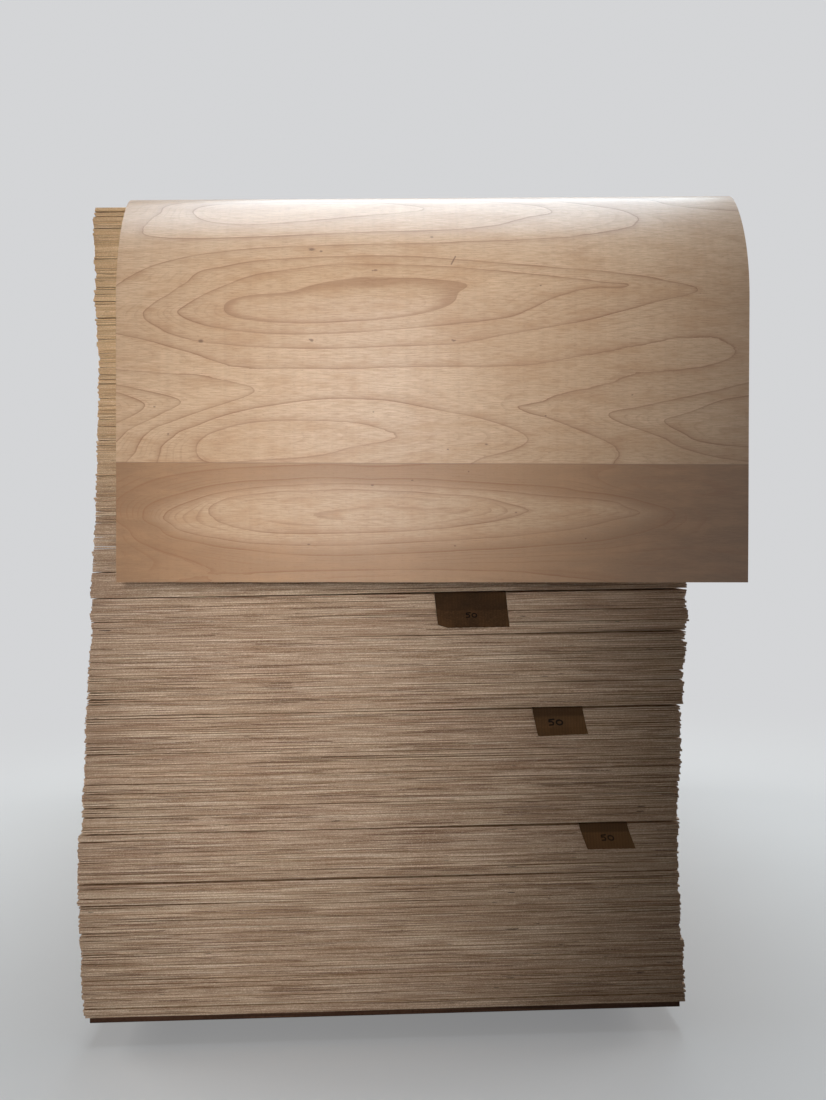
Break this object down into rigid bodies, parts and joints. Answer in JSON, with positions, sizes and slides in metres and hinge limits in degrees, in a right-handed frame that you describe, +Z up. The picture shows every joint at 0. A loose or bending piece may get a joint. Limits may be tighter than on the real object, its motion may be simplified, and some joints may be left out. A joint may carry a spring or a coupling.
{
  "type": "plywood stack",
  "caption": "Tall stack of thin plywood sheets on a base board and timber bearers, with card count tags between bundles and one loose veneered sheet bent over the front.",
  "frame": {"origin": "on the floor, centre of the middle bearer's underside, under the middle of the stack", "axes": "+Z up, +Y along the sheets from the draped front end to the back, +X to the right seen from the front"},
  "size_m": [1.3807, 2.5727, 1.7244],
  "materials": {
    "plywood": "rough sawn edge, matt face",
    "loose_veneer_sheet": "smooth sanded veneer",
    "base_board": "rough dark board",
    "bearer_timber": "rough sawn",
    "kraft_card": "matt"
  },
  "bodies": {
    "root": {"sheets_bundle_1": "plywood", "sheets_bundle_2": "plywood", "sheets_bundle_3": "plywood", "sheets_bundle_4": "plywood", "sheets_bundle_5": "plywood", "sheets_bundle_6": "plywood", "sheets_bundle_7": "plywood", "sheets_bundle_8": "plywood", "draped_sheet": "loose_veneer_sheet", "base_board": "base_board", "bearer_front": "bearer_timber", "bearer_middle": "bearer_timber", "bearer_back": "bearer_timber", "count_tag_1": "kraft_card", "count_tag_2": "kraft_card", "count_tag_3": "kraft_card"}
  },
  "joints": []
}
